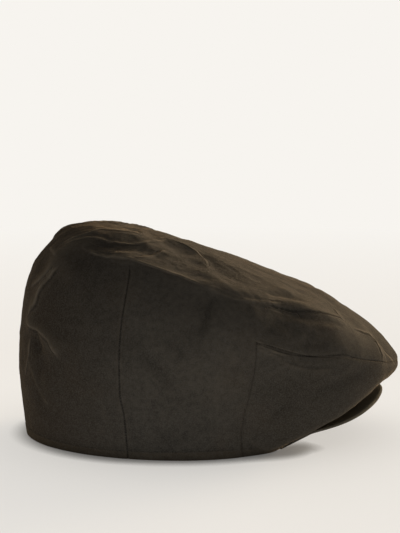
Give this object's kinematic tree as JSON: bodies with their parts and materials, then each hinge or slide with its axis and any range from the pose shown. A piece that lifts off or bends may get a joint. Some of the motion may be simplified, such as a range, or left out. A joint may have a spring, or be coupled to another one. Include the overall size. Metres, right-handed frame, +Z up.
{
  "type": "flat cap",
  "caption": "Waxed cotton flat cap with a stuffed one-piece crown, side-front panels folded over a short stiff peak, and an open head hollow.",
  "frame": {"origin": "on the surface that the rim rests on, under the middle of the cap's box", "axes": "+X to the front, where the peak is, +Y to the wearer's left, +Z up"},
  "size_m": [0.2636, 0.2036, 0.1456],
  "materials": {
    "waxed_cotton": "dark olive brown waxed cotton, matt with a faint wax sheen, paler along folds",
    "peak_cotton": "dark olive brown waxed cotton over a stiff peak"
  },
  "bodies": {
    "root": {"crown": "waxed_cotton", "front_panel_right": "waxed_cotton", "front_panel_left": "waxed_cotton", "peak": "peak_cotton"}
  },
  "joints": []
}
